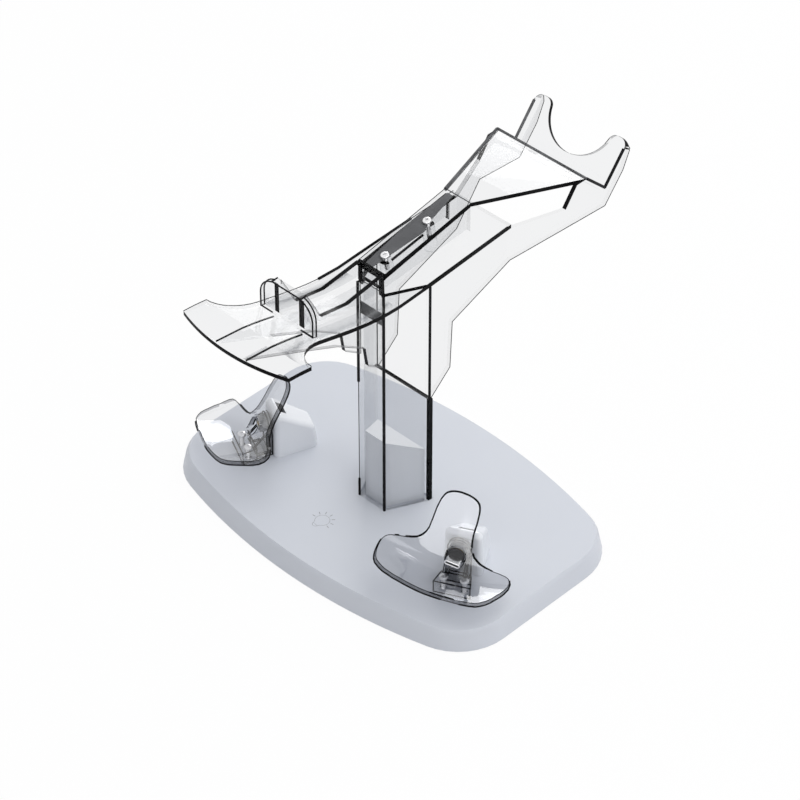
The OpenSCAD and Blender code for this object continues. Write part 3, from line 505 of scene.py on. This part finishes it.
# Each plain screw's head, direction and length; its axis is the normal of its two large flat ends
def screwPlaces(node):
    form = joinedForm(node)
    places = []
    for group in looseParts(form):
        points = [vert.co.copy() for vert in group]
        normals = {}
        for vert in group:
            for face in vert.link_faces:
                key = tuple(round(value, 3) for value in face.normal)
                normals[key] = normals.get(key, 0) + face.calc_area()
        axis = Vector(max(normals, key=normals.get)).normalized()
        heights = [point.dot(axis) for point in points]
        low, high = min(heights), max(heights)
        ends = []
        for level in (high, low):
            ring = [point for point, height in zip(points, heights) if abs(level - height) < screwForm["endDepth"]]
            middle = sum(ring, Vector()) / len(ring)
            ends.append((middle, max((point - middle).length for point in ring)))
        (topMid, topR), (lowMid, lowR) = ends
        head, tip = (topMid, lowMid) if topR >= lowR else (lowMid, topMid)
        places.append((head, (tip - head).normalized(), (tip - head).length))
    form.free()
    return places


def shankRow(down, shank):
    v = screwForm
    row = []
    for place in range(v["around"]):
        turn = down / v["pitch"] - place / v["around"]
        tooth = abs(2 * (turn - math.floor(turn)) - 1)
        fade = min(1.0, (shank - down) / v["endL"], down / v["startL"])
        radius = v["coreR"] + (v["shankR"] - v["coreR"]) * tooth * max(0.0, fade)
        if shank - down < v["tipL"]:
            radius *= v["tipShare"] + v["tipGrow"] * (shank - down)
        row.append((radius, v["headH"] + down))
    return row


# The cross recess is cut by two tapered bars
def cutCross(screw):
    v = screwForm
    bars = []
    for turn in (0, 90):
        deselectAll()
        bpy.ops.mesh.primitive_cube_add(size=1, location=(0, 0, 0))
        bar = bpy.context.object
        bar.data.transform(Matrix.Diagonal((v["crossL"] * mm, v["crossW"] * mm, 2 * v["crossDepth"] * mm, 1)))
        for vert in bar.data.vertices:
            if vert.co.z > 0:
                vert.co.x *= v["crossTaperL"]
                vert.co.y *= v["crossTaperW"]
        bar.data.transform(Matrix.Rotation(math.radians(turn), 4, "Z"))
        bars.append(bar)
    for bar in bars:
        selectOnly(screw)
        cut = screw.modifiers.new("cross", "BOOLEAN")
        cut.object = bar
        cut.solver = "EXACT"
        cut.operation = "DIFFERENCE"
        bpy.ops.object.modifier_apply(modifier=cut.name)
    for bar in bars:
        bpy.data.objects.remove(bar)


# A screw along +Z with the middle of its head's top at the origin
def makeScrew(name, length):
    v = screwForm
    form = bmesh.new()
    around = v["around"]
    rows = [[(radius, height)] * around for radius, height in (*v["head"], (v["shankR"], v["headH"]))]
    shank = length / mm - v["headH"]
    count = max(v["fewestRows"], int(shank / v["pitch"] * v["perPitch"]))
    rows += [shankRow(shank * step / count, shank) for step in range(1, count + 1)]
    verts = []
    for row in rows:
        ring = []
        for place, (radius, height) in enumerate(row):
            angle = math.tau * place / around
            ring.append(form.verts.new((radius * math.cos(angle) * mm, radius * math.sin(angle) * mm, height * mm)))
        verts.append(ring)
    for upper, lower in zip(verts, verts[1:]):
        for place in range(around):
            after = (place + 1) % around
            form.faces.new((upper[place], lower[place], lower[after], upper[after]))
    form.faces.new(list(reversed(verts[0])))
    form.faces.new(verts[-1])
    bmesh.ops.recalc_face_normals(form, faces=form.faces)
    screw = pieceFrom(form, name)
    cutCross(screw)
    selectOnly(screw)
    bpy.ops.object.shade_smooth_by_angle(angle=math.radians(v["smooth"]))
    return screw


for node, name in screwNodes.items():
    screws = []
    for number, (head, axis, length) in enumerate(screwPlaces(node)):
        screw = makeScrew(name + str(number), length)
        upright = Vector((0, 0, 1)).rotation_difference(axis).to_matrix().to_4x4()
        spin = Matrix.Rotation(screwForm["firstTurn"] + number * screwForm["nextTurn"], 4, "Z")
        screw.data.transform(Matrix.Translation(head) @ upright @ spin)
        screws.append(screw)
    finishPiece(joinPieces(screws, name + "s"), screwFinish, "screw_steel", node)
print("screws made")


# Clear pieces: broad faces, cut edges, rims, folds and shades each get their own look, in this order; every look but
# the broad faces' is painted shade
broad, darkEdge, greyEdge, faintEdge, rim, fold, shade = range(7)
sheetLook = (sheetClear, edgeShadeBlack, edgeShadeGrey, edgeShadeFaint, rimShadeBlack, foldShadeGrey, paintedShadeGrey)
plateLook = (restTintAndShade, restEdgeShadeDark, restEdgeShade, restEdgeShade, rimShadeBlack, foldShadeGrey)
leftRestLookPaintedLight = (restTintAndLight, *plateLook[1:])
bracketLook = (bracketClear, edgeShadeBlack, edgeShadeGrey, edgeShadeFaint, rimShadeBlack, foldShadeGrey)
clearForm = {
    "samples": 6, "thickShare": 1.45, "broadShare": 0.5, "skin": 0.00001, "flat": 0.25,
    # Painted shade: cut edges facing this fixed way take the dark look, those facing away the grey and faint looks
    "towards": (0.532, -0.545, 0.648),  # cut edges that look this way are dark, those that look away are paler
    "darkFrom": 0.05, "greyFrom": -0.45, "cornerAngle": 30, "smooth": 30, "weight": 80,
    "rimR": 0.22, "faintR": 0.15, "plateR": 0.2, "plateFarR": 0.42,
    "blockR": 0.38, "blockFrom": 0.1, "blockTo": -0.75,
}
random.seed(7)


def inside(point, low, high):
    return all(low[axis] * mm <= point[axis] <= high[axis] * mm for axis in range(3))


# A thin dark plate under three or more corners, put inside the sheet as painted shade
def addPlate(form, corners, thick, materialIndex):
    upper = [form.verts.new(Vector(corner) * mm) for corner in corners]
    lower = [form.verts.new((Vector(corner) - Vector((0, 0, thick))) * mm) for corner in corners]
    faces = [form.faces.new(upper), form.faces.new(list(reversed(lower)))]
    for place in range(len(upper)):
        after = (place + 1) % len(upper)
        faces.append(form.faces.new((upper[after], upper[place], lower[place], lower[after])))
    bmesh.ops.recalc_face_normals(form, faces=faces)
    for face in faces:
        face.material_index = materialIndex


# How much of each face has the sheet's other side close behind it: area and close area by face
def closeShares(form, thick):
    tree = BVHTree.FromBMesh(form)
    shares = {}
    for corners in form.calc_loop_triangles():
        face = corners[0].face
        a, b, c = (corner.vert.co for corner in corners)
        area = (b - a).cross(c - a).length / 2
        near = 0
        for sample in range(clearForm["samples"]):
            u, w = random.random(), random.random()
            if u + w > 1:
                u, w = 1 - u, 1 - w
            point = a + (b - a) * u + (c - a) * w
            hit = tree.ray_cast(point - face.normal * clearForm["skin"], -face.normal)
            if hit[0] is not None and hit[3] < thick * clearForm["thickShare"]:
                near += 1
        total, good = shares.get(face.index, (0.0, 0.0))
        shares[face.index] = (total + area, good + area * near / clearForm["samples"])
    return shares


# Painted shade: a cut edge is dark, grey or faint by how it faces the fixed way
def faceLook(kind, share, facing):
    total, good = share
    if kind == "block" or good > clearForm["broadShare"] * total:
        return broad
    if facing > clearForm["darkFrom"]:
        return darkEdge
    return greyEdge if facing > clearForm["greyFrom"] else faintEdge


# The bead that an edge between two faces gets, a line of painted shade: its radius and its look
def beadOf(kind, looks, facings):
    v = clearForm
    if kind == "block":
        shown = max(facings) > v["blockFrom"] and min(facings) > v["blockTo"]
        return (v["blockR"] if shown else 0.0), rim
    if min(looks) != broad or max(looks) == broad:
        return 0.0, rim
    near = facings[looks.index(broad)] > 0
    if kind == "plate":
        farR = v["plateFarR"] if max(looks) == darkEdge else 0.0
        return (v["plateR"] if near else farR), rim
    if not near or max(looks) == darkEdge:
        return 0.0, rim
    return (v["faintR"], greyEdge) if max(looks) == greyEdge else (v["rimR"], rim)


# lines, plates and regions are in millimetres and carry painted shade; a region sets the look of its cut edges and
# their bead
def clearPiece(node, name, thick, materials, kind, lines=(), plates=(), regions=()):
    v = clearForm
    piece = mergedCopy(node, name, v["flat"])
    mesh = piece.data
    setMaterial(piece, *materials)
    form = bmesh.new()
    form.from_mesh(mesh)
    form.faces.ensure_lookup_table()
    towards = Vector(v["towards"])
    shares = closeShares(form, thick * mm)
    for face in form.faces:
        share = shares.get(face.index, (1.0, 0.0))
        face.material_index = faceLook(kind, share, face.normal.dot(towards))
        middle = face.calc_center_median()
        for low, high, look, radius in regions:
            if inside(middle, low, high) and (face.material_index or look == broad):
                face.material_index = look
    runs = [(Vector(start) * mm, Vector(end) * mm, radius * mm, look) for start, end, radius, look in lines]
    for edge in form.edges:
        if len(edge.link_faces) != 2 or math.degrees(edge.calc_face_angle(0.0)) < v["cornerAngle"]:
            continue
        start, end = (vert.co.copy() for vert in edge.verts)
        looks = tuple(face.material_index for face in edge.link_faces)
        radius, look = beadOf(kind, looks, tuple(face.normal.dot(towards) for face in edge.link_faces))
        for low, high, regionLook, regionRadius in regions:
            if inside((start + end) / 2, low, high) and regionRadius is not None:
                radius = regionRadius if max(looks) > broad == min(looks) else 0.0
        if radius > 0:
            runs.append((start, end, radius * mm, look))
    for face in form.faces:
        face.smooth = True
    addBeads(form, runs)
    for corners, plateThick, look in plates:
        addPlate(form, corners, plateThick, look)
    form.to_mesh(mesh)
    form.free()
    smoothPiece(piece, v["smooth"], v["weight"])
    finishPiece(piece, None, "clear_plastic", node)
    piece.visible_shadow = kind == "plate"  # the clear stand and brackets let nearly all light through
    print(name, "faces", len(mesh.polygons), "beads", len(runs))


def slab(low, high):
    top = high[2]
    corners = [(low[0], low[1], top), (high[0], low[1], top), (high[0], high[1], top), (low[0], high[1], top)]
    return corners, top - low[2]


def chain(points, radius, look):
    return [(start, end, radius, look) for start, end in zip(points, points[1:])]


def onStrap(x, y, strapRise=0.1736):
    return (x, y, 172.0 + (y + 13.8) * strapRise)


# Painted shade along the sheet's bends and hidden ends, and dark plates inside it, in millimetres
ribPoints = (
    (10.7, -111.4, 175.8), (10.5, -93.8, 174.0), (10.4, -86.8, 172.7), (10.3, -79.7, 171.1), (10.2, -72.6, 169.3),
)
strapPaintedShade = ((-5.2, -12.6), (-0.2, -12.6), (3.6, 22.0), (1.1, 27.0), (-2.6, 49.5), (-6.4, 49.5), (-7.4, 21.0))
standForm = {
    "lines": [
        ((-9.3, -13.8, 158.7), (-9.3, -13.8, 92.0), 0.8, rim),
        ((-9.3, -13.8, 92.0), (-9.3, -13.8, 24.0), 0.22, rim),
        ((-9.3, -13.8, 24.0), (-9.3, -13.8, 11.6), 0.7, rim),
        ((9.3, -13.8, 158.7), (9.3, -13.8, 11.6), 0.85, rim),
        ((20.5, 8.9, 158.7), (20.5, 8.9, 82.6), 0.75, rim),
        ((8.4, -13.6, 170.0), (8.8, -13.6, 158.7), 0.9, rim),
        ((-9.0, 50.7, 183.6), (9.0, 50.7, 183.6), 0.3, fold),
        ((-32.0, 114.6, 177.0), (32.0, 114.6, 177.0), 0.75, fold),
        ((31.9, 114.9, 176.8), (31.9, 129.5, 163.3), 0.9, rim),
        ((31.9, 129.5, 163.3), (31.9, 143.5, 181.1), 0.95, rim),
        ((-31.9, 129.5, 163.3), (-31.9, 143.5, 181.1), 0.9, fold),
        ((-9.0, 50.7, 183.2), (-31.8, 114.4, 176.7), 1.1, fold),
        ((3.7, -1.9, 173.2), (4.0, 20.5, 177.0), 0.75, rim),
    ],
    "plates": [
        (*slab((-9.0, -13.75, 168.9), (9.0, -12.0, 172.5)), darkEdge),
        (*slab((-9.0, -13.7, 160.5), (-6.1, -13.3, 169.3)), darkEdge),
        (*slab((18.2, 9.2, 11.6), (20.4, 11.3, 82.3)), darkEdge),
        # A grey band on the column front, a painted reflection of the tray below, and a dark patch under the strap,
        # painted shade
        (*slab((-7.6, -13.6, 139.0), (8.8, -13.3, 147.0)), shade),
        ([onStrap(*place) for place in strapPaintedShade], 0.3, shade),
    ],
    "regions": [
        ((17.0, 69.3, 161.0), (33.0, 98.7, 166.0), faintEdge, 0.0),
        ((-33.0, 69.3, 161.0), (-17.0, 98.9, 166.0), greyEdge, None),
        ((-6.0, -8.0, 150.0), (6.0, 49.0, 185.0), broad, 0.0),
        ((-22.0, -15.0, 11.0), (22.0, 12.0, 12.0), faintEdge, 0.0),
    ],
}
trayForm = {
    "lines": [
        ((-18.5, -73.2, 172.4), (-10.2, -73.2, 172.4), 0.4, rim),
        ((10.2, -73.2, 172.4), (18.5, -73.2, 172.4), 0.5, rim),
        ((-7.6, 50.6, 179.6), (-7.6, 50.6, 165.4), 0.55, rim),
        *chain([(-x, y, z) for x, y, z in ribPoints], 0.48, rim),
        *chain(ribPoints, 0.55, rim),
        *chain([(-22.0, -29.3, 162.2), (-22.0, -15.0, 161.4), (-22.0, 8.9, 162.6), (-21.5, 38.0, 164.3)], 0.8, rim),
    ],
    "plates": [
        (*slab((-10.2, -71.3, 172.4), (-7.5, -71.0, 190.6)), darkEdge),
        (*slab((7.1, -71.3, 172.4), (10.5, -71.0, 189.6)), darkEdge),
    ],
    "regions": [
        ((-11.0, -112.0, 173.0), (-7.5, -93.0, 176.6), broad, 0.0),
        ((7.5, -112.0, 173.0), (11.0, -93.0, 176.6), broad, 0.0),
        ((-18.8, -73.4, 172.6), (18.8, -70.5, 192.3), faintEdge, 0.42),
        ((-11.0, -73.4, 191.0), (11.0, -63.0, 192.4), faintEdge, 0.42),
        ((5.5, 50.0, 164.0), (9.5, 51.2, 182.0), faintEdge, 0.0),
        ((-21.5, 68.8, 163.0), (21.5, 69.4, 167.0), faintEdge, 0.0),
        ((-5.0, -2.0, 150.0), (5.0, 49.0, 185.0), broad, 0.0),
    ],
}
clearPiece("stand_column", "standColumn", 2.5, sheetLook, "sheet", **standForm)
clearPiece("headset_tray", "headsetTray", 2.5, sheetLook, "sheet", **trayForm)
clearPiece("cradle_rest_left", "cradleRestLeft", 2.2, leftRestLookPaintedLight, "plate")
clearPiece("cradle_rest_right", "cradleRestRight", 2.2, plateLook, "plate")
clearPiece("cradle_bracket_left", "cradleBracketLeft", 2.0, bracketLook, "block")
clearPiece("cradle_bracket_right", "cradleBracketRight", 2.0, bracketLook, "block")
print("clear pieces done")


# Light key sign: a bulb with seven rays, drawn as fine printed lines on the cover, in millimetres
lampSign = {
    "middle": (-8.94, -42.45), "turn": -7.0, "bulbR": 4.09, "openAngle": 38, "bulbSteps": 36,
    "neckHalf": 1.7, "neckY": -4.75, "neckOut": 0.25, "neckUp": 0.8, "capDrop": 1.55, "capSteps": 12,
    "rayIn": 5.0, "rayOut": 6.9, "rayAngles": (-101, -66, -33, 0, 34, 68, 99), "rayWidth": 1.9,
    "line": 0.2, "rise": 0.03, "roundness": 2,
}


def printedLine(name, points, closed, width, top):
    curve = bpy.data.curves.new(name, "CURVE")
    curve.dimensions = "3D"
    curve.bevel_depth = width * mm / 2
    curve.bevel_resolution = lampSign["roundness"]
    curve.use_fill_caps = True
    spline = curve.splines.new("POLY")
    spline.points.add(len(points) - 1)
    for place, (x, y) in enumerate(points):
        spline.points[place].co = (x * mm, y * mm, 0, 1)
    spline.use_cyclic_u = closed
    selectOnly(newPiece(name, curve))
    bpy.ops.object.convert(target="MESH")
    item = bpy.context.object
    flatten = Matrix.Diagonal((1, 1, 2 * lampSign["rise"] / width, 1))
    item.data.transform(Matrix.Translation((0, 0, top)) @ flatten)
    return item


def arcPoints(radiusX, radiusY, middleY, start, end, steps):
    angles = [math.radians(start + (end - start) * step / steps) for step in range(steps + 1)]
    return [(radiusX * math.cos(angle), middleY + radiusY * math.sin(angle)) for angle in angles]


def makeLampSign():
    v = lampSign
    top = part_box("base_cover")[1].z
    turn = math.radians(v["turn"])

    def onCover(points):
        return [(v["middle"][0] + x * math.cos(turn) - y * math.sin(turn),
                 v["middle"][1] + x * math.sin(turn) + y * math.cos(turn)) for x, y in points]

    side, neckY, shoulderY = v["neckHalf"] + v["neckOut"], v["neckY"], v["neckY"] + v["neckUp"]
    glass = arcPoints(v["bulbR"], v["bulbR"], 0.0, 270 - v["openAngle"], v["openAngle"] - 90, v["bulbSteps"])
    bulb = [(-v["neckHalf"], neckY), (-side, shoulderY), *glass, (side, shoulderY), (v["neckHalf"], neckY)]
    cap = arcPoints(v["neckHalf"], v["capDrop"], neckY, 180, 360, v["capSteps"])
    lines = [printedLine("signBulb", onCover(bulb), True, v["line"], top),
             printedLine("signCap", onCover(cap), False, v["line"], top)]
    for angle in v["rayAngles"]:
        way = math.radians(90 - angle)
        ray = [(radius * math.cos(way), radius * math.sin(way)) for radius in (v["rayIn"], v["rayOut"])]
        lines.append(printedLine("signRay", onCover(ray), False, v["line"] * v["rayWidth"], top))
    finishPiece(joinPieces(lines, "lampKeySign"), printFinish, "dark_plastic")


makeLampSign()
print("lamp key sign done")


# Pale floor, soft dome and studio lamps
studio = {
    "floorSize": 6.0, "floorColor": (0.93, 0.93, 0.94), "floorWhite": 0.95,
    "domeColor": (0.97, 0.98, 1.0), "domeStrength": 0.5, "backdropStrength": 1.0,
    "aim": (0, 0, 0.05),
}
lamps = {
    "keyLamp": {"place": (1.5, -0.1, 1.2), "size": 1.2, "power": 6.8},
    "topLamp": {"place": (0.2, 0.5, 1.8), "size": 1.5, "power": 12.8, "shines": False},
    "backLamp": {"place": (-0.5, 1.6, 1.4), "size": 1.4, "power": 6.0, "shines": False},
    "lobeLamp": {"place": (-1.0, 1.37, 0.62), "size": 0.45, "tall": 0.7, "power": 5.6, "lights": False,
                 "aim": (-0.09, -0.04, 0.03)},
    "tongueLamp": {"place": (0.74, -1.22, 0.6), "size": 0.45, "power": 1.9, "lights": False,
                   "aim": (0.07, -0.02, 0.05)},
    "leftLamp": {"place": (-1.5, -0.5, 1.2), "size": 1.2, "power": 1.6, "shines": False},
    "streakLamp": {"place": (0.70, -1.25, 0.52), "size": 0.1, "power": 0.03, "lights": False,
                   "aim": (0.07, -0.02, 0.05)},
    "crescentLamp": {"place": (0.5, 1.04, 1.73), "size": 0.3, "power": 1.6, "lights": False,
                     "aim": (0.05, -0.05, 0.03)},
}


# Rays that see the plain white: straight from the camera, in a gloss or through glass
def seenWhite(tree):
    paths = tree.nodes.new("ShaderNodeLightPath").outputs
    straight = mathOf(tree, "MAXIMUM", paths["Is Camera Ray"], paths["Is Glossy Ray"])
    return mathOf(tree, "MAXIMUM", straight, paths["Is Transmission Ray"])


def makeFloor():
    deselectAll()
    bpy.ops.mesh.primitive_plane_add(size=studio["floorSize"], location=(0, 0, 0))
    floor = bpy.context.object
    floor.name = "studioFloor"
    material, tree, output = newMaterial("floorPaper")
    paper = tree.nodes.new("ShaderNodeBsdfDiffuse")
    paper.inputs["Color"].default_value = (*studio["floorColor"], 1)
    white = tree.nodes.new("ShaderNodeEmission")
    white.inputs["Color"].default_value = (1, 1, 1, 1)
    white.inputs["Strength"].default_value = studio["backdropStrength"]
    share = mixInto(tree, paper.outputs["BSDF"], white.outputs["Emission"], output)
    link(tree, mathOf(tree, "MULTIPLY", seenWhite(tree), studio["floorWhite"]), share)
    setMaterial(floor, material)


def backgroundOf(tree, color, strength):
    background = tree.nodes.new("ShaderNodeBackground")
    background.inputs["Color"].default_value = (*color, 1)
    background.inputs["Strength"].default_value = strength
    return background.outputs["Background"]


def makeDome():
    world = bpy.data.worlds.new("softDome")
    bpy.context.scene.world = world
    world.use_nodes = True
    tree = world.node_tree
    tree.nodes.clear()
    output = tree.nodes.new("ShaderNodeOutputWorld")
    dome = backgroundOf(tree, studio["domeColor"], studio["domeStrength"])
    backdrop = backgroundOf(tree, (1, 1, 1), studio["backdropStrength"])
    link(tree, seenWhite(tree), mixInto(tree, dome, backdrop, output))


def addLamp(name, place, size, power, aim=studio["aim"], lights=True, shines=True, tall=None):
    data = bpy.data.lights.new(name, "AREA")
    data.shape = "RECTANGLE"
    data.size = size
    data.size_y = tall or size
    data.energy = power
    lamp = bpy.data.objects.new(name, data)
    lamp.location = place
    lamp.rotation_euler = (Vector(aim) - Vector(place)).to_track_quat("-Z", "Y").to_euler()
    lamp.visible_diffuse = lights
    lamp.visible_glossy = shines
    bpy.context.scene.collection.objects.link(lamp)


makeFloor()
makeDome()
for name, values in lamps.items():
    addLamp(name, **values)
print("studio ready")
